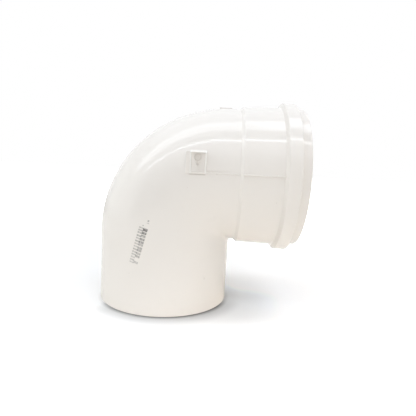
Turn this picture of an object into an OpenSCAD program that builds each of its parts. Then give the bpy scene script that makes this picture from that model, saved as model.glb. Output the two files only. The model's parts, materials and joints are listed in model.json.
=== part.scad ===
// Coaxial flue elbow, 90 degrees, for the 60/100 pipe system of a condensing boiler.
// The outer duct brings fresh air in and the inner pipe takes the flue gas out.
// Both have a plain spigot at the foot and a socket with a lip seal at the end of the arm.
//
// Frame: +Z runs up the foot's axis and +X along the arm's axis. The origin is the
// centre of the outer spigot's end, on which the elbow stands. Millimetres.

/* [Outer duct] */
// Outside diameter of the outer spigot
outer_d = 100; // [90:0.5:110]
// Wall of the outer spigot
outer_wall = 2.5; // [1.8:0.1:3]
// How far the bend's outside stands proud of the spigot's, on the radius
body_step = 0.4; // [0.2:0.1:1]
// Length over which the spigot widens into the bend
blend_l = 7; // [4:0.5:10]
// Chamfer round the spigot's end
spigot_chamfer = 0.8; // [0.4:0.1:1.2]

/* [Inner pipe] */
// Outside diameter of the inner pipe
inner_d = 60; // [50:0.5:66]
// Wall of the inner pipe
inner_wall = 1.8; // [1.4:0.1:2.4]
// How far the inner spigot ends above the outer one
inner_recess = 5; // [4.5:0.5:12]
// Chamfer round the inner spigot's end
inner_chamfer = 0.5; // [0.2:0.1:0.8]

/* [Bend and legs] */
// Radius of the bend, measured to the middle of the ducts
bend_r = 46.5; // [44:0.5:60]
// Straight length of the foot, below the bend
foot_l = 53; // [48:1:80]
// Straight length of the arm, from the bend to the outer socket's stop
arm_l = 9.2; // [8.4:0.1:40]

/* [Outer socket] */
// Depth of the outer socket, from its mouth to its stop
socket_depth = 44.6; // [40:0.1:60]
// Length of the sloped shoulder where the socket begins
shoulder_l = 2.2; // [1.5:0.1:4]
// Radial clearance between the outer socket and a spigot in it
socket_play = 0.3; // [0.1:0.05:0.5]
// Wall of the outer socket where it begins
socket_wall = 1.9; // [1.5:0.1:2.5]
// How much thicker that wall is at the collar, which is the mould's draft
socket_draft = 0.65; // [0:0.05:1]
// Length of the plain lip beyond the collar
lip_l = 6.8; // [5:0.1:9]
// Wall of that lip
lip_wall = 1.7; // [1.4:0.1:2.2]
// Length of the collar over the seal
collar_l = 10.8; // [9:0.1:13]
// Height of the collar over the socket's outside
collar_h = 3.5; // [2.5:0.1:4.5]
// Rounding of the collar's edges
collar_edge = 0.8; // [0.4:0.1:1.2]

/* [Inner socket] */
// Depth of the inner socket, from its mouth to its stop
inner_socket_depth = 35.4; // [28:0.1:42]
// Gap left for the heat's expansion between the next inner spigot and this socket's stop
heat_gap = 3.1; // [1:0.1:3.6]
// Radial clearance between the inner socket and a spigot in it
inner_play = 0.3; // [0.1:0.05:0.5]
// Wall of the inner socket
inner_socket_wall = 1.8; // [1.4:0.1:2.4]
// Length of the bead over the inner seal
bead_l = 9; // [8:0.1:11]
// Height of the bead over the inner socket's outside
bead_h = 2.9; // [2.4:0.1:4]
// Length of the plain lip beyond the bead
inner_lip_l = 5; // [4:0.1:8]

/* [Seals] */
// Width of the outer seal's groove
seal_groove_w = 6.6; // [5.5:0.1:8]
// Wall of the collar outside that groove
groove_wall = 2.2; // [1.4:0.1:2.8]
// Width of the inner seal's groove
inner_groove_w = 5.4; // [4.5:0.1:6.5]
// Wall of the bead outside that groove
inner_groove_wall = 1.6; // [1.2:0.1:2]
// Play of a seal in its groove
seal_play = 0.05; // [0.02:0.01:0.1]
// How far a seal's pressed lip still stands inside the bore of its socket
lip_reach = 0.15; // [0.05:0.05:0.2]

/* [Spacers] */
// Width of a spacer along the pipe
spacer_w = 6; // [4:0.5:6]
// Thickness of a spacer's clip, legs and feet
spacer_t = 1.6; // [1.2:0.1:2.4]
// Play of a spacer on the pipe and in the duct
spacer_play = 0.05; // [0.02:0.01:0.1]
// Opening of a spacer's clip, in degrees
clip_gap = 50; // [30:1:80]
// Legs on a spacer
spacer_legs = 3; // [3:1:4]
// Spread of each leg's foot, in degrees
foot_spread = 20; // [12:1:30]
// Gap between a spacer and the bend
spacer_gap = 0.5; // [0.2:0.1:1]

/* [Mould details] */
// Length of the flat pad on the side of the bend
pad_l = 10.8; // [8:0.1:14]
// Height of that pad
pad_h = 15.5; // [12:0.1:20]
// How far the pad's face stands proud of the bend's side
pad_proud = 0.5; // [0.3:0.1:1]
// Distance from the pad to the end of the bend
pad_back = 15.7; // [12:0.1:20]
// Radius of the date dial in the pad
dial_r = 2.9; // [2:0.1:3.4]
// How far the dial's centre lies below the pad's top edge
dial_down = 4.9; // [4.4:0.1:7]
// Width of the ring sunk round the dial
dial_ring_w = 0.8; // [0.5:0.1:1.2]
// Depth of that ring
dial_depth = 0.4; // [0.2:0.1:0.5]
// Length of the gate's pad on top of the bend
gate_l = 9.6; // [5:0.1:12]
// Width of the gate's pad
gate_w = 8; // [5:0.5:12]
// How far the gate's pad reaches past the end of the bend
gate_reach = 1; // [0:0.1:3]
// How far the gate's pad stands proud
gate_proud = 0.6; // [0.3:0.1:1]
// Width of the alignment rib along the arm
rib_w = 0.9; // [0.6:0.1:1.6]
// How far the alignment rib stands proud
rib_proud = 0.35; // [0.2:0.05:0.8]
// Height of the alignment rib above the arm's axis
rib_up = 1.6; // [0:0.1:4]

/* [Hidden] */
$fn = 96;

// how far a cut runs past the face that it opens
past = 1;
// how far a straight runs into the bend, as a cone, so that the two become one solid
lap = 1;

// foot and arm
arm_z = foot_l + bend_r;
outer_r = outer_d / 2;
outer_bore_r = outer_r - outer_wall;
body_r = outer_r + body_step;
inner_r = inner_d / 2;
inner_bore_r = inner_r - inner_wall;

// outer socket, measured along the arm from the end of the bend
stop = arm_l;
mouth = stop + socket_depth;
socket_bore_r = outer_r + socket_play;
socket_r = socket_bore_r + socket_wall;
socket_end_r = socket_r + socket_draft;
collar_end = mouth - lip_l;
collar_start = collar_end - collar_l;
collar_r = socket_end_r + collar_h;
collar_slope = collar_h * 0.55;
lip_r = socket_bore_r + lip_wall;
mouth_flare = lip_wall / 2;
groove_r = collar_r - groove_wall;
groove_start = collar_end - groove_wall - seal_groove_w;

// inner socket, measured the same way: the next pipe's inner spigot ends inner_recess
// beyond its outer one, which meets the outer stop
inner_stop = stop + inner_recess - heat_gap;
inner_mouth = inner_stop + inner_socket_depth;
inner_socket_bore_r = inner_r + inner_play;
inner_socket_r = inner_socket_bore_r + inner_socket_wall;
inner_shoulder_l = (inner_socket_r - inner_r) * 1.4;
bead_end = inner_mouth - inner_lip_l;
bead_start = bead_end - bead_l;
bead_r = inner_socket_r + bead_h;
bead_slope = bead_h * 0.55;
inner_flare = inner_socket_wall / 2;
inner_groove_r = bead_r - inner_groove_wall;
inner_groove_start = bead_end - inner_groove_wall - inner_groove_w;

// the ring that keeps the foot's spacer from slipping off the spigot
keeper_l = 1;
keeper_h = 0.8;
spigot_spacer_z = foot_l - spacer_gap - spacer_w;

pad_x = bend_r - pad_back - pad_l;
pad_z = arm_z + rib_up - rib_w;
pad_face = body_r + pad_proud;
gate_x = bend_r + gate_reach - gate_l;

// Stands its children on the arm: their Z runs along the arm from the end of the bend
module on_arm() {
  translate([bend_r, 0, arm_z]) rotate([0, 90, 0]) children();
}

// Quarter turn of a round bar, from the top of the foot to the start of the arm.
// A bar thicker than the bend's radius is cut off at the bend's own axis.
module quarter_bend(r) {
  translate([bend_r, 0, foot_l]) rotate([90, 0, 0]) rotate([0, 0, 90])
    rotate_extrude(angle = 90) intersection() {
      translate([bend_r, 0]) circle(r = r);
      translate([0, -r]) square([bend_r + r, 2 * r]);
    }
}

// Bore of radius r up the foot, from height z
module foot_bore(r, z) {
  rotate_extrude() polygon([[0, z], [r, z], [r, foot_l], [r - lap, foot_l + lap], [0, foot_l + lap]]);
}

// Half-section of a raised ring: sloped on the side of the bend, steep on the other,
// with both edges rounded
module ring_section(r_in, r_out, from, to, slope, edge) {
  steep = atan2(r_out - r_in, slope);
  round_l = edge * tan(steep / 2);
  top = from + slope;
  base = r_in - edge;
  polygon([[base, from], [r_in, from],
    [r_out - round_l * sin(steep), top - round_l * cos(steep)], [r_out, top + round_l],
    [r_out, to - edge], [r_out - edge, to], [base, to]]);
  translate([r_out - edge, top + round_l]) circle(r = edge);
  translate([r_out - edge, to - edge]) circle(r = edge);
}

// Half-section of a lip seal. The lip leans away from the mouth, so that
// a pipe pushes it down as it slides in.
module seal_section(bore, groove, from, width) {
  tip = bore - lip_reach;
  back = groove - seal_play;
  low = from + seal_play;
  high = from + width - seal_play;
  depth = back - bore;
  polygon([[back, low], [back, high], [bore + 0.1 * depth, high],
    [bore + 0.1 * depth, high - 0.2 * width], [tip, low + 0.14 * width],
    [bore + 0.05 * depth, low + 0.05 * width], [bore + 0.26 * depth, low + 0.1 * width],
    [bore + 0.55 * depth, low + 0.46 * width], [bore + 0.7 * depth, low + 0.46 * width],
    [bore + 0.72 * depth, low]]);
}

// Clip that holds the inner pipe in the middle of the outer duct: an open ring on the
// pipe, with legs whose feet bear on the duct's wall
module spacer() {
  ring_in = inner_r + spacer_play;
  foot_out = outer_bore_r - spacer_play;
  rotate([0, 0, clip_gap / 2]) rotate_extrude(angle = 360 - clip_gap)
    translate([ring_in, 0]) square([spacer_t, spacer_w]);
  for (k = [0 : spacer_legs - 1]) rotate([0, 0, 180 + (k - (spacer_legs - 1) / 2) * 360 / spacer_legs]) {
    translate([ring_in + spacer_t / 2, -spacer_t / 2, 0])
      cube([foot_out - ring_in - spacer_t, spacer_t, spacer_w]);
    rotate([0, 0, -foot_spread / 2]) rotate_extrude(angle = foot_spread)
      translate([foot_out - spacer_t, 0]) square([spacer_t, spacer_w]);
  }
}

// Outside of the foot: a cylinder that a socket's seal grips, and the widening above it
module foot_outside() {
  rotate_extrude() polygon([[0, 0], [outer_r - spigot_chamfer, 0], [outer_r, spigot_chamfer],
    [outer_r, foot_l - blend_l], [body_r, foot_l], [body_r - lap, foot_l + lap], [0, foot_l + lap]]);
}

// Outside of the arm: bend's diameter, shoulder, socket, collar and lip
module arm_outside() {
  on_arm() rotate_extrude() {
    polygon([[0, -lap], [body_r - lap, -lap], [body_r, 0], [body_r, stop - shoulder_l], [socket_r, stop],
      [socket_end_r, collar_start + collar_edge], [socket_end_r, collar_end - collar_edge],
      [lip_r, collar_end - collar_edge], [lip_r, mouth - mouth_flare / 2],
      [lip_r - mouth_flare / 2, mouth], [0, mouth]]);
    ring_section(socket_end_r, collar_r, collar_start, collar_end, collar_slope, collar_edge);
  }
}

// Inside of the outer duct: bore, socket, seal groove and the flare at the mouth
module outer_inside() {
  foot_bore(outer_bore_r, -past);
  quarter_bend(outer_bore_r);
  on_arm() rotate_extrude() {
    polygon([[0, -lap], [outer_bore_r - lap, -lap], [outer_bore_r, 0],
      [outer_bore_r, stop], [socket_bore_r, stop],
      [socket_bore_r, mouth - mouth_flare], [socket_bore_r + mouth_flare, mouth],
      [socket_bore_r + mouth_flare, mouth + past], [0, mouth + past]]);
    translate([outer_bore_r, groove_start]) square([groove_r - outer_bore_r, seal_groove_w]);
  }
}

// Flat pad on the side of the bend, with a dial that shows the date of moulding
module date_pad() {
  translate([pad_x, -pad_face, pad_z]) difference() {
    cube([pad_l, pad_face, pad_h]);
    translate([pad_l / 2, dial_depth, pad_h - dial_down]) rotate([90, 0, 0]) difference() {
      cylinder(r = dial_r, h = dial_depth + past);
      cylinder(r = dial_r - dial_ring_w, h = dial_depth);
    }
  }
}

// Thin rib on one side of the arm, drawn from x to x, standing proud of radius r
module alignment_rib(side, from, to, r) {
  translate([from, side * r - rib_w, arm_z + rib_up - rib_w / 2])
    translate([0, side > 0 ? 0 : rib_w - rib_proud, 0]) cube([to - from, rib_w + rib_proud, rib_w]);
}

module outer_elbow() {
  color("#f4f2ee") difference() {
    union() {
      foot_outside();
      quarter_bend(body_r);
      arm_outside();
      date_pad();
      translate([gate_x, -gate_w / 2, arm_z]) cube([gate_l, gate_w, body_r + gate_proud]);
      for (side = [-1, 1]) {
        alignment_rib(side, pad_x + pad_l / 2, bend_r + stop - shoulder_l, body_r);
        alignment_rib(side, bend_r + stop, bend_r + collar_start, socket_end_r);
      }
    }
    outer_inside();
  }
}

module inner_elbow() {
  color("#dfe1df") difference() {
    union() {
      translate([0, 0, inner_recess]) rotate_extrude() polygon([[0, 0],
        [inner_r - inner_chamfer, 0], [inner_r, inner_chamfer], [inner_r, foot_l - inner_recess],
        [inner_r - lap, foot_l - inner_recess + lap], [0, foot_l - inner_recess + lap]]);
      translate([0, 0, spigot_spacer_z - keeper_l - spacer_play])
        cylinder(r = inner_r + keeper_h, h = keeper_l);
      quarter_bend(inner_r);
      on_arm() rotate_extrude() {
        polygon([[0, -lap], [inner_r - lap, -lap], [inner_r, 0], [inner_r, inner_stop - inner_shoulder_l],
          [inner_socket_r, inner_stop], [inner_socket_r, inner_mouth - inner_flare / 2],
          [inner_socket_r - inner_flare / 2, inner_mouth], [0, inner_mouth]]);
        ring_section(inner_socket_r, bead_r, bead_start, bead_end, bead_slope, collar_edge);
      }
    }
    foot_bore(inner_bore_r, inner_recess - past);
    quarter_bend(inner_bore_r);
    on_arm() rotate_extrude() {
      polygon([[0, -lap], [inner_bore_r - lap, -lap], [inner_bore_r, 0], [inner_bore_r, inner_stop],
        [inner_socket_bore_r, inner_stop], [inner_socket_bore_r, inner_mouth - inner_flare],
        [inner_socket_bore_r + inner_flare, inner_mouth],
        [inner_socket_bore_r + inner_flare, inner_mouth + past], [0, inner_mouth + past]]);
      translate([inner_bore_r, inner_groove_start])
        square([inner_groove_r - inner_bore_r, inner_groove_w]);
    }
  }
}

module outer_lip_seal() {
  color("#1c1c1d") on_arm() rotate_extrude()
    seal_section(socket_bore_r, groove_r, groove_start, seal_groove_w);
}

module inner_lip_seal() {
  color("#1c1c1d") on_arm() rotate_extrude()
    seal_section(inner_socket_bore_r, inner_groove_r, inner_groove_start, inner_groove_w);
}

module spigot_spacer() {
  color("#c9cbcb") translate([0, 0, spigot_spacer_z]) spacer();
}

module socket_spacer() {
  color("#c9cbcb") on_arm() translate([0, 0, spacer_gap]) spacer();
}

outer_elbow();
outer_lip_seal();
inner_elbow();
inner_lip_seal();
spigot_spacer();
socket_spacer();
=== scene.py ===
"""Coaxial flue elbow: the looks of every piece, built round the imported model.

All lengths are in metres. +Z runs up the foot's axis, +X out along the arm's, and the
origin is the centre of the outer spigot's end, on which the elbow stands.
"""

import json
import math

import bmesh
import bpy
from mathutils import Matrix, Vector


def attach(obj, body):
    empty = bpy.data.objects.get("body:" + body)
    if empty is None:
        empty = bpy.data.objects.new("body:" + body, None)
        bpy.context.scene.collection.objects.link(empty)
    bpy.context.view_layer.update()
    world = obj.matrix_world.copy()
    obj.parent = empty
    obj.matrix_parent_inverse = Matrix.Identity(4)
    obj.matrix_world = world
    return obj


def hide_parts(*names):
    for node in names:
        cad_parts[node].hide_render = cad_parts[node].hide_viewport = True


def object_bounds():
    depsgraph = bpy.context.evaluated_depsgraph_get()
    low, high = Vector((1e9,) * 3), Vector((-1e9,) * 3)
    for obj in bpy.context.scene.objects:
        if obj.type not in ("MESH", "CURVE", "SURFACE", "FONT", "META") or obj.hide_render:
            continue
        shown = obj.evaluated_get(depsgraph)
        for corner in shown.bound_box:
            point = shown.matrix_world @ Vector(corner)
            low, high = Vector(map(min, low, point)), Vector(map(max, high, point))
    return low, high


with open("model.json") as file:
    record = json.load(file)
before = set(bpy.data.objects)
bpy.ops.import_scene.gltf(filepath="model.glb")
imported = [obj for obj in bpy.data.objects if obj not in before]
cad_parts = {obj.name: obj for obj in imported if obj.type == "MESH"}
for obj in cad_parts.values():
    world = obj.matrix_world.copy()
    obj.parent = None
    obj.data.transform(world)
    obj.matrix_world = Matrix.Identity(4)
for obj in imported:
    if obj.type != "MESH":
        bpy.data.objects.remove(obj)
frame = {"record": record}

cad_low, cad_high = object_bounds()


# ---------------------------------------------------------------------------------------
# Outer duct
# One injection moulding in white polypropylene: a plain spigot below, a tight quarter
# turn, and a socket with a shoulder and a collar over its lip seal. A flat pad on its side
# holds the mould's date dial, and the foot carries two rows of inkjet marks and a pip.
# ---------------------------------------------------------------------------------------

MM = 0.001
mounts = {m["name"]: m for m in frame["record"]["mounts"]}
mouth_x, _, arm_z = mounts["outer_socket"]["pos_m"]
spigot_r = mounts["outer_spigot"]["dims"]["r_mm"] * MM
body_r = -cad_low.x
collar_r = min(cad_high.y, cad_high.z - arm_z)
foot_l = 53 * MM
bend_r = arm_z - foot_l
ring_step = 1.6 * MM
socket_depth = 44.6 * MM
shoulder_l = 2.2 * MM
seal_w = 6.6 * MM
spigot_chamfer = 0.4 * MM
widening_l = 7 * MM

# distances along the duct: up the foot, round the bend and out along the arm
arm_s = foot_l + bend_r * math.pi / 2
mouth_s = arm_s + mouth_x - bend_r
stop_s = mouth_s - socket_depth
collar_end = mouth_s - 6.8 * MM
collar_start = collar_end - 10.8 * MM

# radii of the walls
bore_r = spigot_r - 2.5 * MM
socket_bore_r = spigot_r + 0.3 * MM
socket_r = socket_bore_r + 1.9 * MM
socket_end_r = socket_r + 0.65 * MM
lip_r = socket_bore_r + 1.7 * MM
groove_r = collar_r - 2.2 * MM
groove_end = collar_end - 2.2 * MM
groove_start = groove_end - seal_w
lip_edge = 0.425 * MM
mouth_bevel = 0.85 * MM


class Socket:
    """A value on its way through a node tree. Arithmetic on it adds Math nodes."""

    def __init__(self, graph, link):
        self.graph = graph
        self.link = link

    def math(self, operation, *values):
        return self.graph.node("ShaderNodeMath", {"operation": operation}, values)

    def __add__(self, other):
        return self.math("ADD", self, other)

    def __radd__(self, other):
        return self.math("ADD", other, self)

    def __sub__(self, other):
        return self.math("SUBTRACT", self, other)

    def __rsub__(self, other):
        return self.math("SUBTRACT", other, self)

    def __mul__(self, other):
        return self.math("MULTIPLY", self, other)

    def __rmul__(self, other):
        return self.math("MULTIPLY", other, self)

    def __truediv__(self, other):
        return self.math("DIVIDE", self, other)

    def __rtruediv__(self, other):
        return self.math("DIVIDE", other, self)

    def __pow__(self, other):
        return self.math("POWER", self, other)

    def __gt__(self, other):
        return self.math("GREATER_THAN", self, other)

    def __lt__(self, other):
        return self.math("LESS_THAN", self, other)

    def __abs__(self):
        return self.math("ABSOLUTE", self)

    def floor(self):
        return self.math("FLOOR", self)

    def clamped(self):
        return self.graph.node("ShaderNodeClamp", {}, {"Value": self})

    def ramp(self, low, high):
        """0 below low, 1 above high, smooth between; falls instead where low > high."""
        kind = {"interpolation_type": "SMOOTHSTEP"}
        if low < high:
            return self.graph.node("ShaderNodeMapRange", kind,
                                   {"Value": self, "From Min": low, "From Max": high})
        return self.graph.node("ShaderNodeMapRange", kind,
                               {"Value": self, "From Min": high, "From Max": low,
                                "To Min": 1.0, "To Max": 0.0})

    def part(self, axis):
        """One coordinate of a vector."""
        return self.graph.node("ShaderNodeSeparateXYZ", {}, {0: self}, out="XYZ"[axis])


class Graph:
    """Adds nodes to one node tree."""

    def __init__(self, tree):
        self.tree = tree

    def node(self, kind, settings, values=(), out=0):
        """A node of that kind: its settings first, then its sockets, by name or number."""
        made = self.tree.nodes.new(kind)
        for name, value in settings.items():
            if name == "stops":
                for k, (at, colour) in enumerate(value):
                    ramp = made.color_ramp.elements
                    stop = ramp[k] if k < 2 else ramp.new(at)
                    stop.position = at
                    stop.color = colour
            else:
                setattr(made, name, value)
        shown = [s for s in made.inputs if s.enabled]
        pairs = values.items() if isinstance(values, dict) else enumerate(values)
        for key, value in pairs:
            socket = shown[key] if isinstance(key, int) else next(s for s in shown if s.name == key)
            if isinstance(value, Socket):
                self.tree.links.new(value.link, socket)
            else:
                socket.default_value = value
        given = [s for s in made.outputs if s.enabled]
        if not given:
            return made
        return Socket(self, given[out] if isinstance(out, int)
                      else next(s for s in given if s.name == out))


def turn_and_bend_tree():
    """Turns an outline of (radius, distance along the duct) round the duct's axis, and bends
    the axis through a right angle. Where the wall reaches the bend's own axis, it turns
    through a tight corner instead, and the straights beside it are shortened to meet it."""
    tree = bpy.data.node_groups.new("turn and bend", "GeometryNodeTree")
    sockets = tree.interface
    sockets.new_socket("Outline", in_out="INPUT", socket_type="NodeSocketGeometry")
    sockets.new_socket("Around", in_out="INPUT", socket_type="NodeSocketInt")
    for name in ("Foot length", "Bend radius", "Corner radius", "Take-up length"):
        sockets.new_socket(name, in_out="INPUT", socket_type="NodeSocketFloat")
    sockets.new_socket("Material", in_out="INPUT", socket_type="NodeSocketMaterial")
    sockets.new_socket("Piece", in_out="OUTPUT", socket_type="NodeSocketGeometry")
    g = Graph(tree)

    def given(name):
        return g.node("NodeGroupInput", {}, out=name)

    foot, bend = given("Foot length"), given("Bend radius")
    corner, take = given("Corner radius"), given("Take-up length")
    rows = g.node("GeometryNodeAttributeDomainSize", {}, {"Geometry": given("Outline")},
                  out="Point Count")
    columns = given("Around") + 1
    grid = g.node("GeometryNodeMeshGrid", {}, {"Vertices X": rows, "Vertices Y": columns})
    index = g.node("GeometryNodeInputIndex", {})
    row = ((index + 0.5) / columns).floor()
    column = index - row * columns
    point = g.node("GeometryNodeSampleIndex", {"data_type": "FLOAT_VECTOR"},
                   {"Geometry": given("Outline"), "Index": row,
                    "Value": g.node("GeometryNodeInputPosition", {})})
    radius, along = point.part(0), point.part(2)
    turn = column * (2 * math.pi) / given("Around")
    inward = radius * turn.math("COSINE", turn)
    sideways = radius * turn.math("SINE", turn)

    # radius of this line's own turn, which never falls below the corner's
    room = bend - inward
    gap = room - corner
    own = 0.5 * (room + corner + (gap * gap + 4 * corner * corner) ** 0.5)
    angle = ((along - foot) / (bend * (math.pi / 2))).clamped() * (math.pi / 2)
    past_bend = along.math("MAXIMUM", along - foot - bend * (math.pi / 2), 0.0)
    to_foot = ((along - foot + take) / take).clamped()
    from_bend = (past_bend / take).clamped()
    x = inward + own * (1 - angle.math("COSINE", angle)) + past_bend + (room - own) * from_bend
    z = along.math("MINIMUM", along, foot) + (room - own) * to_foot + own * angle.math("SINE", angle)
    place = g.node("ShaderNodeCombineXYZ", {}, (x, sideways, z))
    piece = g.node("GeometryNodeSetPosition", {}, {"Geometry": grid, "Position": place})
    piece = g.node("GeometryNodeMergeByDistance", {}, {"Geometry": piece, "Distance": 0.002 * MM})
    piece = g.node("GeometryNodeSetShadeSmooth", {}, {"Geometry": piece})
    piece = g.node("GeometryNodeRealizeInstances", {}, {"Geometry": piece})
    piece = g.node("GeometryNodeSetMaterial", {}, {"Geometry": piece, "Material": given("Material")})
    g.node("NodeGroupOutput", {}, {"Piece": piece})
    return tree


def outline(corners, step=15, ease=0.25 * MM):
    """Closed outline from corners of (radius, distance, rounding). A rounding becomes an arc
    with a point every few degrees, and one more just beyond each end, which keeps the
    faces beside it flat. Long straights get a point every ring_step."""
    points = []
    for k, (r, s, rounding) in enumerate(corners):
        here = Vector((r, s))
        back = (Vector(corners[k - 1][:2]) - here).normalized()
        ahead = (Vector(corners[(k + 1) % len(corners)][:2]) - here).normalized()
        half = back.angle(ahead) / 2
        if not rounding:
            points.append(here)
            continue
        cut = rounding / math.tan(half)
        middle = here + (back + ahead).normalized() * rounding / math.sin(half)
        start = here + back * cut - middle
        sweep = start.angle_signed(here + ahead * cut - middle)
        parts = max(2, math.ceil(abs(math.degrees(sweep)) / step))
        points.append(here + back * (cut + ease))
        for i in range(parts + 1):
            points.append(middle + Matrix.Rotation(-sweep * i / parts, 2) @ start)
        points.append(here + ahead * (cut + ease))
    dense = []
    for k, here in enumerate(points):
        ahead = points[(k + 1) % len(points)]
        parts = max(1, math.ceil((ahead - here).length / ring_step))
        dense += [here.lerp(ahead, i / parts) for i in range(parts)]
    return [(p.x, p.y) for p in dense]


duct_tree = turn_and_bend_tree()


def set_inputs(modifier, values):
    """Sets a Geometry Nodes modifier's inputs, each by its socket's identifier."""
    for item in modifier.node_group.interface.items_tree:
        if item.name in values:
            modifier[item.identifier] = values[item.name]


def settled(piece):
    """Turns a piece and its modifiers into a plain mesh, and clears the modifiers."""
    bpy.context.view_layer.update()
    shaped = piece.evaluated_get(bpy.context.evaluated_depsgraph_get())
    mesh = bpy.data.meshes.new_from_object(shaped)
    piece.modifiers.clear()
    piece.data = mesh
    return piece


def new_piece(name, mesh):
    piece = bpy.data.objects.new(name, mesh)
    bpy.context.scene.collection.objects.link(piece)
    return piece


def turned_and_bent(name, points, material, around=168):
    """A piece turned from that outline and bent along the duct."""
    mesh = bpy.data.meshes.new(name)
    closed = list(reversed(points + points[:1]))
    mesh.from_pydata([(r, 0, s) for r, s in closed], [], [])
    piece = new_piece(name, mesh)
    modifier = piece.modifiers.new("turn and bend", "NODES")
    modifier.node_group = duct_tree
    set_inputs(modifier, {"Around": around, "Foot length": foot_l, "Bend radius": bend_r,
                          "Corner radius": 1.0 * MM, "Take-up length": 6.8 * MM,
                          "Material": material})
    return settled(piece)


def principled(name, settings):
    """A material with a Principled shader, its plain settings made, and a graph to add to."""
    material = bpy.data.materials.new(name)
    material.use_nodes = True
    shader = material.node_tree.nodes["Principled BSDF"]
    for key, value in settings.items():
        shader.inputs[key].default_value = value
    return material, Graph(material.node_tree), shader


def feed(graph, shader, **values):
    """Links values to the shader's sockets: base_color goes to Base Color, and so on."""
    for key, value in values.items():
        name = key.replace("_", " ").title()
        graph.tree.links.new(value.link, shader.inputs[name])


def noise(graph, where, scale, detail=2.0, roughness=0.5, out="Fac"):
    return graph.node("ShaderNodeTexNoise", {}, {"Vector": where, "Scale": scale, "Detail": detail,
                                                 "Roughness": roughness}, out=out)


def mix(graph, factor, low, high):
    """Blend of two colours."""
    return graph.node("ShaderNodeMix", {"data_type": "RGBA"}, {"Factor": factor, "A": low, "B": high})


def bump(graph, height, distance, strength=1.0):
    return graph.node("ShaderNodeBump", {}, {"Height": height, "Distance": distance,
                                             "Strength": strength}, out="Normal")


def speckle(graph, where, scale, share):
    """Small round specks, on about that share of the cells of a grid."""
    cells = graph.node("ShaderNodeTexVoronoi", {}, {"Vector": where, "Scale": scale}, out="Distance")
    chosen = graph.node("ShaderNodeTexVoronoi", {}, {"Vector": where, "Scale": scale}, out="Color")
    return (chosen.part(0) < share) * cells.ramp(0.16, 0.08)


def scratches(graph, where, along, width, share):
    """Hair scratches that run roughly along one axis, in patches."""
    stretch = [1.0, 1.0, 1.0]
    stretch[along] = 0.04
    drawn = graph.node("ShaderNodeVectorMath", {"operation": "MULTIPLY"}, {0: where, 1: stretch})
    lines = noise(graph, drawn, 1 / width, 2.0, 0.6)
    patches = noise(graph, where, 35.0, 2.0)
    return (lines > 0.66) * patches.ramp(1 - share, 1.15 - share)


def within(value, low, high, soft=0.12):
    """1 between low and high and 0 outside, with soft edges."""
    return value.ramp(low - soft, low + soft) * value.ramp(high + soft, high - soft)


pad_low = Vector((bend_r - 26.5 * MM, -body_r - 0.5 * MM, arm_z + 0.7 * MM))


def pad_marks(graph, where):
    """Dirt and painted shade in the hollows of the date pad, a painted shadow along its bottom edge, and
    painted highlights on its upright edges.
    """
    x, y, z = ((where.part(k) - pad_low[k]) / MM for k in range(3))
    near = y < 6
    hollow = within(x, 0.85, 9.95) * within(z, 1.0, 14.4)
    deep = y.ramp(0.15, 1.3)
    # the hollows carry some dirt, and painted shade that grows with their depth and towards the ledge at
    # the top
    dirt_and_shade = hollow * (0.09 + 0.06 * deep + 0.08 * z.ramp(10.5, 14.0))
    # a painted shadow along the pad's bottom edge
    under = within(x, -0.5, 10.5, 0.4) * within(z, -0.75, 0.12, 0.3) * 0.22
    # painted highlights on the upright edges that face the left, where the light falls on them
    painted_edge_highlight = within(x, -3.3, -2.75) + within(x, -0.15, 0.75) + within(x, 9.95, 10.9)
    return (dirt_and_shade + under) * near, painted_edge_highlight.clamped() * within(z, 0.2, 15.2) * near


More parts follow.
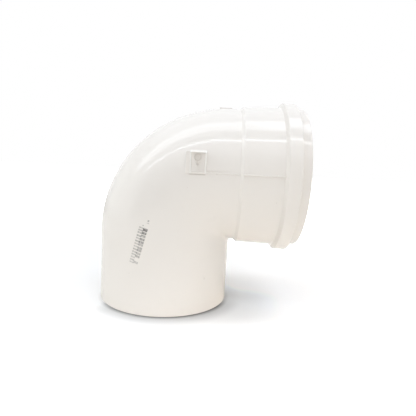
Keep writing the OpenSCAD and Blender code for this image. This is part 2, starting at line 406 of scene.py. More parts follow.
def ink_marks(graph, where):
    """Two rows of plain inkjet bars that lean up the foot, and a few loose dots above them."""
    angle, height, slant = math.radians(-104.5), 49.3 * MM, math.radians(15.5)
    outward = Vector((math.cos(angle), math.sin(angle), 0))
    around = Vector((-math.sin(angle), math.cos(angle), 0))
    middle = outward * spigot_r + Vector((0, 0, height))
    along = around * math.sin(slant) + Vector((0, 0, math.cos(slant)))
    across = around * math.cos(slant) - Vector((0, 0, math.sin(slant)))
    ahead = graph.node("ShaderNodeVectorMath", {"operation": "SUBTRACT"}, {0: where, 1: middle})

    def distance(axis):
        """Millimetres from the middle of the marks, measured along that axis."""
        return graph.node("ShaderNodeVectorMath", {"operation": "DOT_PRODUCT"},
                          {0: ahead, 1: axis}, out="Value") / MM

    def chance(*cell):
        place = graph.node("ShaderNodeCombineXYZ", {}, cell)
        return graph.node("ShaderNodeTexWhiteNoise", {}, {"Vector": place}, out="Value")

    a, b = distance(along), distance(across)

    def row(seed, low, high, pitch, thick, share):
        """Bars across one row: some are left out, and they differ a little in weight."""
        i = (a / pitch).floor()
        off = abs(a / pitch - i - 0.4 - 0.2 * chance(i, seed, 1.5))
        bar = off.ramp(thick + 0.12, thick - 0.08) * (chance(i, seed, 2.5) < share)
        gap = within(b - low - chance(i, seed, 4.5), 0.9, 1.5)
        return bar * (0.65 + 0.35 * chance(i, seed, 3.5)) * (1 - 0.35 * gap) * within(b, low, high)

    dots = 0.32
    i, j = (a / dots).floor(), (b / dots).floor()
    da, db = a / dots - i - 0.5, b / dots - j - 0.5
    dot = ((da * da + db * db) ** 0.5).ramp(0.74, 0.40)
    thin = row(3.5, -3.4, 0.0, 2.0, 0.27, 0.90) * 0.55
    bold = row(8.5, -0.3, 3.05, 2.15, 0.36, 0.95) * 0.66
    blobs = within(a, 10.9, 13.4) * within(b, -0.1, 2.9) * 0.26
    blobs = blobs + within(a, 7.4, 9.8) * within(b, -0.2, 2.6) * 0.18
    blobs = blobs + within(a, 1.4, 5.2) * within(b, -1.2, 2.6) * 0.10
    loose = within(a, 18.1, 19.3) * within(b, 1.0, 2.2) + within(a, 16.9, 17.3) * within(b, 0.9, 2.7)
    loose = loose + within(a, 14.2, 15.0) * within(b, -1.4, -0.6)
    fade = (a / 80 + 0.90).clamped()
    printed = (thin + bold).clamped() * fade * within(a, -13.2, 13.2)
    printed = (printed + blobs + loose * 0.45).clamped() * (1 - 0.7 * (chance(i, j, 0.5) < 0.07))
    front = graph.node("ShaderNodeVectorMath", {"operation": "DOT_PRODUCT"},
                       {0: where, 1: outward}, out="Value") > 0
    return printed * (0.55 + 0.45 * dot) * front


def mould_line(graph, where):
    """The fine line that the mould's two halves leave along the middle of the duct's outside."""
    x, y, z = (where.part(k) / MM for k in range(3))
    bend, foot = bend_r / MM, foot_l / MM
    beside = (x - bend).math("MINIMUM", x - bend, 0.0)
    above = (z - foot).math("MAXIMUM", z - foot, 0.0)
    off = abs((beside * beside + above * above) ** 0.5 - bend)
    off = off.math("MAXIMUM", off, x * (z < foot))
    wall = bore_r / MM + 1.2 + 2.6 * (x > bend + 6)
    return within(y, -0.13, 0.13, 0.08) * (off > wall)


def pip(graph, where):
    """A round pip low on the foot, where a pin of the mould met it, and a painted shadow below it."""
    place = Vector((33.3, -37.6, 27.5)) * MM
    ahead = graph.node("ShaderNodeVectorMath", {"operation": "SUBTRACT"}, {0: where, 1: place})
    below = graph.node("ShaderNodeVectorMath", {"operation": "SUBTRACT"},
                       {0: where, 1: place - Vector((0, 0, 2.1 * MM))})
    away, low = (graph.node("ShaderNodeVectorMath", {"operation": "LENGTH"}, {0: v}, out="Value") / MM
                 for v in (ahead, below))
    return away.ramp(1.7, 0.9), low.ramp(1.1, 0.3) * 0.16


def white_plastic():
    """White polypropylene, glossy from a polished mould, with faint flow and handling marks."""
    material, g, shader = principled("duct_white", {"IOR": 1.49})
    where = g.node("ShaderNodeTexCoord", {}, out="Object")
    cloud = noise(g, where, 22.0, 3.0)
    colour = mix(g, cloud, (0.878, 0.840, 0.794, 1), (0.898, 0.861, 0.818, 1))
    scuffs = scratches(g, where, 2, 0.35 * MM, 0.36)
    handled = noise(g, where, 60.0, 4.0, 0.62).ramp(0.60, 0.80)
    specks = speckle(g, where, 420.0, 0.012)
    colour = mix(g, handled * 0.10, colour, (0.70, 0.66, 0.60, 1))
    colour = mix(g, specks * 0.35, colour, (0.42, 0.38, 0.32, 1))
    dirt_and_shade, painted_edge_highlight = pad_marks(g, where)
    # painted highlights on the date pad's upright edges
    colour = mix(g, painted_edge_highlight * 0.6, colour, (0.965, 0.955, 0.93, 1))
    # dirt and painted shade in the date pad's hollows, and a painted shadow along the pad's bottom edge
    colour = mix(g, dirt_and_shade.clamped(), colour, (0.36, 0.31, 0.25, 1))
    ink = ink_marks(g, where)
    colour = mix(g, ink, colour, (0.016, 0.014, 0.012, 1))
    line = mould_line(g, where)
    # a painted shadow below the pip, and the faint tone of the mould line
    pin, painted_pip_shadow = pip(g, where)
    colour = mix(g, line * 0.10 + painted_pip_shadow, colour, (0.42, 0.38, 0.32, 1))
    flow = noise(g, where, 130.0, 2.0, 0.45)
    grain = noise(g, where, 1500.0, 2.0)
    finish = 0.105 + cloud * 0.035 + handled * 0.10 + scuffs * 0.12 + ink * 0.35 + dirt_and_shade * 0.5
    normal = bump(g, flow + grain * 0.10 - scuffs * 0.12 + line * 4 + pin * 9, 0.012 * MM)
    feed(g, shader, base_color=colour, roughness=finish.clamped(), normal=normal)
    return material


duct_outline = outline([
    (bore_r, 0, 0.3 * MM), (spigot_r - spigot_chamfer, 0, 0.15 * MM),
    (spigot_r, spigot_chamfer, 0.3 * MM),
    (spigot_r, foot_l - widening_l, 60 * MM), (body_r, foot_l, 60 * MM),
    (body_r, stop_s - shoulder_l, 0.5 * MM), (socket_r, stop_s, 0.5 * MM),
    (socket_end_r, collar_start, 0.3 * MM), (collar_r, collar_start + 1.93 * MM, 0.8 * MM),
    (collar_r, collar_end, 0.8 * MM), (lip_r, collar_end, 0.3 * MM),
    (lip_r, mouth_s - lip_edge, 0.3 * MM), (lip_r - lip_edge, mouth_s, 0.2 * MM),
    (socket_bore_r + mouth_bevel, mouth_s, 0.2 * MM),
    (socket_bore_r, mouth_s - mouth_bevel, 0.5 * MM),
    (socket_bore_r, groove_end, 0.2 * MM), (groove_r, groove_end, 0.3 * MM),
    (groove_r, groove_start, 0.3 * MM), (socket_bore_r, groove_start, 0.2 * MM),
    (socket_bore_r, stop_s, 0.3 * MM), (bore_r, stop_s, 0.3 * MM),
])


def block(low, high, rounding, keep=None):
    """A box with rounded edges. Edges that keep(middle) refuses stay sharp."""
    mesh = bpy.data.meshes.new("block")
    b = bmesh.new()
    bmesh.ops.create_cube(b, size=1)
    for v in b.verts:
        v.co = Vector(lo + (hi - lo) * (c + 0.5) for lo, hi, c in zip(low, high, v.co))
    edges = [e for e in b.edges if keep is None or keep((e.verts[0].co + e.verts[1].co) / 2)]
    bmesh.ops.bevel(b, geom=edges, offset=rounding, segments=3, profile=0.5, affect="EDGES",
                    clamp_overlap=True)
    b.to_mesh(mesh)
    b.free()
    return mesh


def disc(middle, axis, radius, length, parts=64, top=1.0):
    """A round bar or a cone's frustum from middle along axis."""
    mesh = bpy.data.meshes.new("disc")
    b = bmesh.new()
    bmesh.ops.create_cone(b, cap_ends=True, segments=parts, radius1=radius,
                          radius2=radius * top, depth=length)
    turn = Vector(axis).to_track_quat("Z", "Y").to_matrix().to_4x4()
    place = Matrix.Translation(Vector(middle)) @ turn @ Matrix.Translation((0, 0, length / 2))
    bmesh.ops.transform(b, matrix=place, verts=b.verts)
    b.to_mesh(mesh)
    b.free()
    return mesh


def combined(piece, meshes, operation="UNION"):
    """Adds the meshes to the piece, or cuts them from it."""
    helpers = [bpy.data.objects.new("helper", mesh) for mesh in meshes]
    for helper in helpers:
        bpy.context.scene.collection.objects.link(helper)
        modifier = piece.modifiers.new("join", "BOOLEAN")
        modifier.operation = operation
        modifier.solver = "MANIFOLD"
        modifier.object = helper
    settled(piece)
    for helper in helpers:
        bpy.data.objects.remove(helper)
    return piece


def tick_tree():
    """Small bars that stand in a circle, each pointing at its centre."""
    tree = bpy.data.node_groups.new("ticks in a circle", "GeometryNodeTree")
    sockets = tree.interface
    sockets.new_socket("Count", in_out="INPUT", socket_type="NodeSocketInt")
    for name in ("Radius", "Length", "Width", "Height"):
        sockets.new_socket(name, in_out="INPUT", socket_type="NodeSocketFloat")
    sockets.new_socket("Centre", in_out="INPUT", socket_type="NodeSocketVector")
    sockets.new_socket("Material", in_out="INPUT", socket_type="NodeSocketMaterial")
    sockets.new_socket("Ticks", in_out="OUTPUT", socket_type="NodeSocketGeometry")
    g = Graph(tree)

    def given(name):
        return g.node("NodeGroupInput", {}, out=name)

    circle = g.node("GeometryNodeMeshCircle", {}, {"Vertices": given("Count"), "Radius": given("Radius")})
    size = g.node("ShaderNodeCombineXYZ", {}, (given("Length"), given("Width"), given("Height")))
    bar = g.node("GeometryNodeMeshCube", {}, {"Size": size})
    index = g.node("GeometryNodeInputIndex", {})
    turn = g.node("ShaderNodeCombineXYZ", {}, {"Z": index * (2 * math.pi) / given("Count")})
    ticks = g.node("GeometryNodeInstanceOnPoints", {}, {"Points": circle, "Instance": bar,
                                                        "Rotation": turn})
    # the circle lies flat, and the dial stands upright
    ticks = g.node("GeometryNodeTransform", {}, {"Geometry": ticks, "Translation": given("Centre"),
                                                 "Rotation": (math.pi / 2, 0, 0)})
    ticks = g.node("GeometryNodeRealizeInstances", {}, {"Geometry": ticks})
    ticks = g.node("GeometryNodeSetMaterial", {}, {"Geometry": ticks, "Material": given("Material")})
    g.node("NodeGroupOutput", {}, {"Ticks": ticks})
    return tree


def ticks_in_circle(centre, material):
    mesh = bpy.data.meshes.new("ticks")
    piece = new_piece("ticks", mesh)
    modifier = piece.modifiers.new("ticks", "NODES")
    modifier.node_group = tick_tree()
    set_inputs(modifier, {"Count": 12, "Radius": 2.75 * MM, "Length": 0.4 * MM, "Width": 0.18 * MM,
                          "Height": 0.3 * MM, "Centre": centre, "Material": material})
    settled(piece)
    mesh = piece.data
    bpy.data.objects.remove(piece)
    return mesh


def flat_solid(centre, corners, depth):
    """A flat solid that faces the front, for cutting a sunk shape."""
    mesh = bpy.data.meshes.new("flat")
    b = bmesh.new()
    face = b.faces.new([b.verts.new((centre.x + x * MM, centre.y - depth, centre.z + z * MM))
                        for x, z in corners])
    back = bmesh.ops.extrude_face_region(b, geom=[face])["geom"]
    moved = [v for v in back if isinstance(v, bmesh.types.BMVert)]
    bmesh.ops.translate(b, vec=(0, 2 * depth, 0), verts=moved)
    bmesh.ops.recalc_face_normals(b, faces=b.faces)
    b.to_mesh(mesh)
    b.free()
    return mesh


pad_root = -44 * MM


def date_pad(material):
    """The pad: a low plinth, a plate with a sunk panel, and a date dial over a pointer."""
    def at(x, y, z):
        return pad_low + Vector((x, y, z)) * MM

    def deep(corner):
        return Vector((corner.x, pad_root, corner.z))

    def outside(middle):
        return middle.y < pad_root - MM

    pad = new_piece("pad", block(at(-3.2, 0.55, 0.2), deep(at(10.8, 0, 14.6)), 0.2 * MM, outside))
    combined(pad, [block(at(0, 0, 0), deep(at(10.8, 0, 15.5)), 0.2 * MM, outside)])
    # the top edge is cut back, so that it faces the light
    ledge = block((-8 * MM, -3 * MM, 0), (8 * MM, 3 * MM, 3 * MM), 0.1 * MM)
    ledge.transform(Matrix.Translation(at(5.4, 0, 14.15)) @ Matrix.Rotation(math.radians(45), 4, "X"))
    combined(pad, [ledge], "DIFFERENCE")
    combined(pad, [block(at(0.9, -1, 1.2), at(9.9, 0.42, 13.9), 0.2 * MM)], "DIFFERENCE")
    dial = at(5.2, 0.42, 10.9)
    inward = Vector((0, 1, 0))
    groove = new_piece("groove", disc(dial - inward * MM, inward, 2.45 * MM, 1.75 * MM, 72, 0.97))
    combined(groove, [disc(dial - inward * 2 * MM, inward, 1.5 * MM, 4 * MM, 72)], "DIFFERENCE")
    arrow = [(-0.75, 0.2), (0, -1.15), (0.75, 0.2), (0.28, 0.2), (0.28, 1.0), (-0.28, 1.0), (-0.28, 0.2)]
    pointer = [(-2.1, -2.9), (0, -6.0), (2.1, -2.9), (1.5, -2.9), (0, -5.1), (-1.5, -2.9)]
    combined(pad, [groove.data.copy(), flat_solid(dial, arrow, 0.3 * MM),
                   flat_solid(dial, pointer, 0.35 * MM),
                   disc(dial + Vector((0, -1, -4.4)) * MM, inward, 0.8 * MM, 2 * MM, 32, 0.8)],
             "DIFFERENCE")
    bpy.data.objects.remove(groove)
    combined(pad, [ticks_in_circle(dial, material)])
    mesh = pad.data
    bpy.data.objects.remove(pad)
    return mesh


def gate_pad():
    """The low pad on top where the plastic was let in, with the stub that the gate left."""
    end, top = bend_r + MM, arm_z + body_r + 0.6 * MM
    low, high = (end - 9.6 * MM, -4 * MM, top - 5 * MM), (end, 4 * MM, top)
    pad = new_piece("gate", block(low, high, 0.3 * MM))
    combined(pad, [disc((end - 4.8 * MM, 0, top - 0.3 * MM), (0, 0, 1), 1.5 * MM, 0.7 * MM, 32, 0.8)])
    mesh = pad.data
    bpy.data.objects.remove(pad)
    return mesh


def alignment_ribs():
    """Thin ribs on both sides of the arm that show a fitter which way the elbow is turned."""
    level = arm_z + 1.65 * MM
    shoulder_x = bend_r + stop_s - arm_s
    ribs = []
    for side in (-1, 1):
        for start, end, radius, up, thick, proud in (
                (25.4 * MM, shoulder_x - 1.8 * MM, body_r, 0, 0.95 * MM, 0.42 * MM),
                (25.4 * MM, bend_r, body_r, 1.75 * MM, 0.3 * MM, 0.15 * MM),
                (shoulder_x - 0.4 * MM, shoulder_x + 27.5 * MM, socket_end_r, 0, 0.95 * MM, 0.35 * MM),
                (shoulder_x + 21 * MM, shoulder_x + 27.5 * MM, socket_end_r, 0.25 * MM, 1.3 * MM,
                 0.75 * MM)):
            face, root = side * (radius + proud), side * (radius - 2 * MM)
            low = (start, min(face, root), level + up - thick / 2)
            high = (end, max(face, root), level + up + thick / 2)
            ribs.append(block(low, high, min(0.28 * MM, thick / 3)))
    return ribs


def finished(piece, material, node, crease=35):
    """Gives a shaped piece its one material and smooth shading, puts it on its body, and hides the CAD
    node that it stands for.
    """
    mesh = piece.data
    mesh.materials.clear()
    mesh.materials.append(material)
    mesh.polygons.foreach_set("material_index", [0] * len(mesh.polygons))
    mesh.polygons.foreach_set("use_smooth", [True] * len(mesh.polygons))
    mesh.set_sharp_from_angle(angle=math.radians(crease))
    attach(piece, "root")
    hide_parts(node)


white = white_plastic()
duct = turned_and_bent("outer_duct", duct_outline, white)
combined(duct, [date_pad(white), gate_pad(), *alignment_ribs()])
finished(duct, white, "outer_elbow")


# ---------------------------------------------------------------------------------------
# Outer lip seal
# A ring of black EPDM rubber that is pressed into the groove under the collar. Its lip
# leans away from the mouth, and fine ribs on its back grip the groove.
# ---------------------------------------------------------------------------------------

def seal_outline(bore, groove, start, width):
    """Section of a lip seal: a ribbed back, a foot toward the mouth and a leaning lip."""
    play = 0.06 * MM
    back, low, high = groove - play, start + play, start + width - play
    tip, deep = bore - 0.15 * MM, back - bore
    ribs = []
    count = 4
    for k in range(count):
        s = high - (high - low) * (k + 0.5) / count
        gap = (high - low) / count * 0.16
        ribs += [(back, s + 2 * gap, 0.08 * MM), (back - 0.25 * MM, s + gap, 0.08 * MM),
                 (back - 0.25 * MM, s - gap, 0.08 * MM), (back, s - 2 * gap, 0.08 * MM)]
    lip = [(back, low, 0.2 * MM), (bore + 0.72 * deep, low, 0.15 * MM),
           (bore + 0.70 * deep, low + 0.46 * width, 0.2 * MM),
           (bore + 0.55 * deep, low + 0.46 * width, 0.2 * MM),
           (bore + 0.26 * deep, low + 0.10 * width, 0.2 * MM),
           (bore + 0.05 * deep, low + 0.05 * width, 0.12 * MM), (tip, low + 0.14 * width, 0.12 * MM),
           (bore + 0.10 * deep, high - 0.20 * width, 0.2 * MM), (bore + 0.10 * deep, high, 0.2 * MM)]
    return outline(list(reversed(lip + [(back, high, 0.2 * MM)] + ribs)), 25, 0.05 * MM)


def black_rubber():
    """Matt black EPDM with the mould's fine turning lines and a little white talc."""
    material, g, shader = principled("seal_rubber", {"IOR": 1.52, "Specular IOR Level": 0.4})
    where = g.node("ShaderNodeTexCoord", {}, out="Object")
    talc = noise(g, where, 160.0, 5.0, 0.65).ramp(0.52, 0.74)
    dust = speckle(g, where, 900.0, 0.05)
    colour = mix(g, talc * 0.22, (0.021, 0.021, 0.023, 1), (0.22, 0.22, 0.21, 1))
    colour = mix(g, dust * 0.4, colour, (0.45, 0.45, 0.43, 1))
    turned = g.node("ShaderNodeTexWave", {"wave_type": "BANDS", "bands_direction": "X"},
                    {"Vector": where, "Scale": 700.0, "Distortion": 1.0, "Detail": 1.0})
    grain = noise(g, where, 2600.0, 2.0)
    feed(g, shader, base_color=colour, roughness=(0.46 + talc * 0.24 + grain * 0.08).clamped(),
         normal=bump(g, turned * 0.4 + grain, 0.012 * MM))
    return material


rubber = black_rubber()
outer_seal_outline = seal_outline(socket_bore_r, groove_r, groove_start, seal_w)
seal = turned_and_bent("outer_seal", outer_seal_outline, rubber)
finished(seal, rubber, "outer_lip_seal")


# ---------------------------------------------------------------------------------------
# Inner flue pipe
# A thinner moulding in light grey, heat-stabilised polypropylene that hangs in the middle
# of the duct on two clips. Its socket has a bead over a second, smaller lip seal.
# ---------------------------------------------------------------------------------------

inner_r = mounts["inner_spigot"]["dims"]["r_mm"] * MM
inner_end = mounts["inner_spigot"]["pos_m"][2]
inner_mouth = arm_s + mounts["inner_socket"]["pos_m"][0] - bend_r
inner_bore = inner_r - 1.8 * MM
inner_socket_bore = inner_r + 0.3 * MM
inner_socket_r = inner_socket_bore + 1.8 * MM
inner_stop = inner_mouth - 35.4 * MM
bead_end = inner_mouth - 5 * MM
bead_start = bead_end - 9 * MM
bead_r = inner_socket_r + 2.9 * MM
inner_groove_r = bead_r - 1.6 * MM
inner_groove_end = bead_end - 1.6 * MM
inner_seal_w = 5.4 * MM
inner_groove_start = inner_groove_end - inner_seal_w
keeper = foot_l - 7.55 * MM


def grey_plastic():
    """Light grey polypropylene: slightly cloudy, with flow lines along the pipe."""
    material, g, shader = principled("pipe_grey", {"IOR": 1.49})
    where = g.node("ShaderNodeTexCoord", {}, out="Object")
    cloud = noise(g, where, 30.0, 4.0, 0.6)
    flow = noise(g, g.node("ShaderNodeVectorMath", {"operation": "MULTIPLY"},
                           {0: where, 1: (1.0, 1.0, 0.12)}), 260.0, 3.0, 0.6)
    specks = speckle(g, where, 520.0, 0.02)
    colour = mix(g, cloud, (0.640, 0.655, 0.650, 1), (0.700, 0.712, 0.705, 1))
    colour = mix(g, flow.ramp(0.45, 0.75) * 0.18, colour, (0.56, 0.57, 0.56, 1))
    colour = mix(g, specks * 0.4, colour, (0.30, 0.30, 0.29, 1))
    grain = noise(g, where, 1400.0, 2.0)
    feed(g, shader, base_color=colour, roughness=(0.26 + flow * 0.12 + cloud * 0.05).clamped(),
         normal=bump(g, flow * 0.6 + grain * 0.3, 0.02 * MM))
    return material


pipe_outline = outline([
    (inner_bore, inner_end, 0.25 * MM), (inner_r - 0.5 * MM, inner_end, 0.2 * MM),
    (inner_r, inner_end + 0.5 * MM, 0.3 * MM), (inner_r, keeper, 0.15 * MM),
    (inner_r + 0.8 * MM, keeper, 0.25 * MM), (inner_r + 0.8 * MM, keeper + MM, 0.25 * MM),
    (inner_r, keeper + MM, 0.15 * MM), (inner_r, inner_stop - 2.94 * MM, 0.8 * MM),
    (inner_socket_r, inner_stop, 0.8 * MM), (inner_socket_r, bead_start, 0.3 * MM),
    (bead_r, bead_start + 1.6 * MM, 0.8 * MM), (bead_r, bead_end, 0.8 * MM),
    (inner_socket_r, bead_end, 0.3 * MM), (inner_socket_r, inner_mouth - 0.45 * MM, 0.3 * MM),
    (inner_socket_r - 0.45 * MM, inner_mouth, 0.15 * MM),
    (inner_socket_bore + 0.9 * MM, inner_mouth, 0.15 * MM),
    (inner_socket_bore, inner_mouth - 0.9 * MM, 0.4 * MM),
    (inner_socket_bore, inner_groove_end, 0.2 * MM), (inner_groove_r, inner_groove_end, 0.3 * MM),
    (inner_groove_r, inner_groove_start, 0.3 * MM), (inner_socket_bore, inner_groove_start, 0.2 * MM),
    (inner_socket_bore, inner_stop, 0.3 * MM), (inner_bore, inner_stop, 0.3 * MM),
])

grey = grey_plastic()
pipe = turned_and_bent("inner_pipe", pipe_outline, grey, 128)
finished(pipe, grey, "inner_elbow")


# ---------------------------------------------------------------------------------------
# Inner lip seal
# The same kind of ring as the outer one, in the bead's groove, in the same black rubber.
# ---------------------------------------------------------------------------------------

inner_seal_outline = seal_outline(inner_socket_bore, inner_groove_r, inner_groove_start,
                                  inner_seal_w)
inner_seal = turned_and_bent("inner_seal", inner_seal_outline, rubber, 128)
finished(inner_seal, rubber, "inner_lip_seal")


# ---------------------------------------------------------------------------------------
# Spacers
# Two open clips of grey polypropylene that snap on the inner pipe, one in the foot and one
# in the arm. Each has three legs whose feet bear on the duct's wall.
# ---------------------------------------------------------------------------------------

clip_t, clip_w, clip_gap = 1.6 * MM, 6 * MM, 50
clip_r = inner_r + 0.06 * MM
foot_r = bore_r - 0.06 * MM
foot_spread = 20


def ring_arc(inside, outside, first, last, width, rounding, step=3):
    """Part of a flat ring, between two angles in degrees, with rounded ends and edges."""
    mesh = bpy.data.meshes.new("arc")
    b = bmesh.new()
    parts = max(2, math.ceil((last - first) / step))
    angles = [math.radians(first + (last - first) * k / parts) for k in range(parts + 1)]
    rows = [[b.verts.new((r * math.cos(t), r * math.sin(t), 0)) for t in angles]
            for r in (inside, outside)]
    faces = [b.faces.new((rows[0][k], rows[1][k], rows[1][k + 1], rows[0][k + 1]))
             for k in range(parts)]
    raised = bmesh.ops.extrude_face_region(b, geom=faces)["geom"]
    moved = [v for v in raised if isinstance(v, bmesh.types.BMVert)]
    bmesh.ops.translate(b, vec=(0, 0, width), verts=moved)
    bmesh.ops.recalc_face_normals(b, faces=b.faces)
    sharp = [e for e in b.edges if len(e.link_faces) == 2 and e.calc_face_angle() > 1]
    bmesh.ops.bevel(b, geom=sharp, offset=rounding, segments=3, profile=0.5, affect="EDGES",
                    clamp_overlap=True)
    b.to_mesh(mesh)
    b.free()
    return mesh


def turned_about_z(mesh, degrees):
    mesh.transform(Matrix.Rotation(math.radians(degrees), 4, "Z"))
    return mesh


def spacer(name, place):
    """A clip with its legs, made flat at the origin and then put in its place."""
    clip = new_piece(name, ring_arc(clip_r, clip_r + clip_t, clip_gap / 2, 360 - clip_gap / 2,
                                    clip_w, 0.3 * MM))
    parts = []
    for turn in (60, 180, 300):
        first, last = clip_r + 0.6 * MM, foot_r - 0.6 * MM
        leg = block((first, -clip_t / 2, 0.5 * MM), (last, clip_t / 2, clip_w - 0.5 * MM), 0.25 * MM)
        web = block((first, -clip_t * 1.4, 2.4 * MM), (last, clip_t * 1.4, 3.6 * MM), 0.3 * MM)
        foot = ring_arc(foot_r - clip_t, foot_r, -foot_spread / 2, foot_spread / 2, clip_w, 0.35 * MM)
        parts += [turned_about_z(mesh, turn) for mesh in (leg, web, foot)]
    combined(clip, parts)
    clip.data.transform(place)
    return clip


def spacer_plastic():
    """Mid grey polypropylene with a fine spark-eroded texture and paler rubbed spots."""
    material, g, shader = principled("clip_grey", {"IOR": 1.49})
    where = g.node("ShaderNodeTexCoord", {}, out="Object")
    cloud = noise(g, where, 90.0, 3.0)
    rubbed = noise(g, where, 320.0, 3.0, 0.6).ramp(0.55, 0.75)
    colour = mix(g, cloud, (0.500, 0.512, 0.512, 1), (0.575, 0.585, 0.583, 1))
    colour = mix(g, rubbed * 0.4, colour, (0.66, 0.67, 0.66, 1))
    grain = noise(g, where, 2200.0, 3.0, 0.6)
    feed(g, shader, base_color=colour, roughness=(0.38 + grain * 0.16).clamped(),
         normal=bump(g, grain, 0.02 * MM))
    return material


clip_plastic = spacer_plastic()
foot_place = Matrix.Translation((0, 0, foot_l - 0.5 * MM - clip_w))
arm_turn = Matrix(((0, 0, 1, 0), (0, 1, 0, 0), (-1, 0, 0, 0), (0, 0, 0, 1)))
arm_place = Matrix.Translation((bend_r + 0.5 * MM, 0, arm_z)) @ arm_turn
for name, node, place in (("foot_clip", "spigot_spacer", foot_place),
                          ("arm_clip", "socket_spacer", arm_place)):
    finished(spacer(name, place), clip_plastic, node)


# ---------------------------------------------------------------------------------------
# Floor, light and camera
# A pale floor that runs off into white, with part of the shadow painted on it, long lamps
# overhead, and soft light all round that has one dark patch for reflections.
# ---------------------------------------------------------------------------------------

def seen(graph):
    """1 for what the camera sees, straight or by way of gloss or glass."""
    rays = [graph.node("ShaderNodeLightPath", {}, out=name)
            for name in ("Is Camera Ray", "Is Glossy Ray", "Is Transmission Ray")]
    return (rays[0] + rays[1] + rays[2]).clamped()


def stage_floor():
    mesh = bpy.data.meshes.new("floor")
    half = 4.0
    mesh.from_pydata([(-half, -half, 0), (half, -half, 0), (half, half, 0), (-half, half, 0)],
                     [], [(0, 1, 2, 3)])
    floor = new_piece("floor", mesh)
    material, g, shader = principled("floor", {"Roughness": 1.0, "Specular IOR Level": 0.0,
                                               "Emission Color": (1, 1, 1, 1)})
    where = g.node("ShaderNodeTexCoord", {}, out="Object")

    def distance(x, y):
        ahead = g.node("ShaderNodeVectorMath", {"operation": "SUBTRACT"},
                       {0: where, 1: (x * MM, y * MM, 0)})
        return g.node("ShaderNodeVectorMath", {"operation": "LENGTH"}, {0: ahead}, out="Value")

    away = distance(0, 0)
    far = away.ramp(0.16, 0.40)
    toward = g.node("ShaderNodeVectorMath", {"operation": "DOT_PRODUCT"},
                    {0: where, 1: (0.85, -0.53, 0)}, out="Value") / away
    level = where.part(1)
    behind = level.ramp(26 * MM, -2 * MM)
    ahead = level.ramp(-74 * MM, -36 * MM)

    # the soft lamps cast only a faint shadow, so most of the one by the foot is painted here.
    # It leans a little to the front right, away from the brighter lamps.
    reach = distance(6, -5) - spigot_r
    under = 0.13 * behind * ahead * toward.ramp(-0.1, 0.5) * reach.ramp(52 * MM, 2 * MM)
    ring = 0.28 * (away - spigot_r).ramp(17 * MM, 0) * toward.ramp(-0.42, -0.08)
    ring = ring * (0.35 + 0.65 * level.ramp(-4 * MM, -28 * MM))
    touch = 0.44 * (away - spigot_r).ramp(4.5 * MM, -1 * MM)
    touch = touch * (0.4 + 0.6 * level.ramp(-4 * MM, -26 * MM))
    touch = touch * (0.3 + 0.7 * toward.ramp(-0.45, -0.30))
    shade = (under + ring + touch).clamped()
    # the camera sees a near-white floor, and the object gets a warmer light back from it
    camera_ray = g.node("ShaderNodeLightPath", {}, out="Is Camera Ray")
    tint = distance(60, 6).ramp(78 * MM, 10 * MM)
    ground = mix(g, tint, (1.008, 1.0, 0.993, 1), (0.958, 1.0, 1.044, 1))
    ground = mix(g, shade, ground, (0, 0, 0, 1))
    ground = mix(g, camera_ray, (0.98, 0.945, 0.89, 1), ground)
    lift = 0.06 * (1 - (shade * 12).clamped())
    # a glow in front of the foot, which lights its lower front and which the camera can't see
    sheen = 0.16 * distance(0, -85).ramp(90 * MM, 20 * MM) * (1 - camera_ray)
    glow = seen(g) * (lift + far * (0.1 + 0.8 * camera_ray)) + sheen
    feed(g, shader, base_color=ground, emission_strength=glow)

    # from below, the camera looks through it at what stands on it, and the foot stays open
    output = material.node_tree.nodes["Material Output"]
    clear = g.node("ShaderNodeBsdfTransparent", {})
    beneath = g.node("ShaderNodeNewGeometry", {}, out="Backfacing") * camera_ray
    beneath = (beneath + (away < spigot_r - 1.5 * MM)).clamped()
    both = g.node("ShaderNodeMixShader", {}, {0: beneath, 1: Socket(g, shader.outputs[0]), 2: clear})
    material.node_tree.links.new(both.link, output.inputs["Surface"])
    mesh.materials.append(material)


stage_floor()


def softbox(name, place, aim, size, radiance, colour=(1, 1, 1)):
    """A rectangular area light whose first side lies level."""
    lamp = bpy.data.lights.new(name, "AREA")
    lamp.shape = "RECTANGLE"
    lamp.size, lamp.size_y = size
    lamp.energy = radiance * math.pi * size[0] * size[1]
    lamp.color = colour
    light = bpy.data.objects.new(name, lamp)
    light.visible_camera = False
    bpy.context.scene.collection.objects.link(light)
    back = (Vector(place) - Vector(aim)).normalized()
    side = Vector((0, 1, 0)).cross(back) if abs(back.z) > 0.5 else Vector((0, 0, 1)).cross(back)
    side.normalize()
    turned = Matrix((side, back.cross(side), back)).transposed()
    light.matrix_world = Matrix.Translation(place) @ turned.to_4x4()
    return light


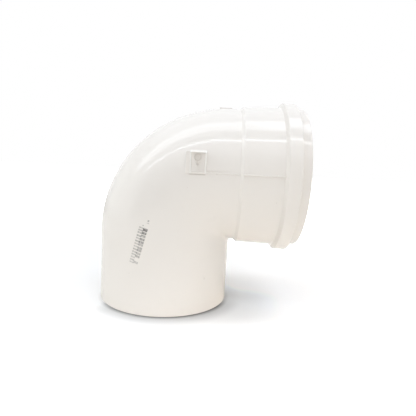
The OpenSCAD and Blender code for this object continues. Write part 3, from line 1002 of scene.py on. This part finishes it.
centre = Vector((0.025, 0.0, 0.1))
down = Vector((0, 0, -1))
cool, bluish, warm = (0.955, 1.0, 1.06), (0.85, 1.0, 1.25), (1.10, 1.0, 0.90)
for name, offset, size, radiance, colour in (
        ("overhead left", (-0.4, -0.04, 0.70), (1.8, 0.24), 1.98, cool),
        ("overhead right", (0.5, -0.04, 0.71), (0.8, 0.24), 0.75, bluish),
        ("strip left", (-0.4, -0.43, 0.70), (1.8, 0.04), 7.65, cool),
        ("strip middle", (0.05, -0.45, 0.71), (0.9, 0.04), 1.58, bluish),
        ("ceiling left", (-0.85, 0.1, 0.75), (1.0, 1.0), 0.16, bluish),
        ("ceiling back", (0.0, 0.35, 0.76), (1.6, 0.7), 0.18, cool),
        ("ceiling front", (-0.1, -0.8, 0.72), (1.8, 0.6), 0.65, (1, 1, 1))):
    softbox(name, centre + Vector(offset), centre + Vector(offset) + down, size, radiance, colour)
softbox("left", centre + Vector((-1.3, 0, 0.3)), centre + Vector((0, 0, 0.3)), (1.6, 0.8), 0.27,
        (0.85, 1.0, 0.90))
low_right = softbox("low right", centre + Vector((0.75, -0.2, 0.5)), centre + Vector((0.16, 0, -0.1)),
                    (0.12, 0.4), 0.56, warm)
low_right.data.spread = math.radians(25)

world = bpy.data.worlds.new("studio")
bpy.context.scene.world = world
world.use_nodes = True
g = Graph(world.node_tree)
# light from all round, with a dark patch that only reflections see
around = 0.45
towards = g.node("ShaderNodeTexCoord", {}, out="Object")
flag = g.node("ShaderNodeVectorMath", {"operation": "DOT_PRODUCT"},
              {0: towards, 1: Vector((-0.56, -0.76, 0.34)).normalized()}, out="Value").ramp(0.76, 0.97)
glossy = g.node("ShaderNodeLightPath", {}, out="Is Glossy Ray")
strength = around + seen(g) * (1 - around) - 0.9 * flag * glossy
g.tree.links.new(strength.link, world.node_tree.nodes["Background"].inputs["Strength"])
world.node_tree.nodes["Background"].inputs["Color"].default_value = (1, 1, 1, 1)

camera = bpy.data.objects.new("camera", bpy.data.cameras.new("camera"))
bpy.context.scene.collection.objects.link(camera)
bpy.context.scene.camera = camera
camera.data.sensor_width = 36
camera.data.lens = 31.94
yaw, pitch, roll = -0.011, 0.1203, 0.0523
ahead = Vector((math.sin(yaw) * math.cos(pitch), math.cos(yaw) * math.cos(pitch), -math.sin(pitch)))
right = Vector((math.cos(yaw), -math.sin(yaw), 0))
up = right.cross(ahead)
turned = Matrix((right * math.cos(roll) + up * math.sin(roll),
                 up * math.cos(roll) - right * math.sin(roll), -ahead)).transposed()
camera.matrix_world = Matrix.Translation((0.036065, -0.29398, 0.107442)) @ turned.to_4x4()

bpy.context.scene.view_settings.view_transform = "Standard"
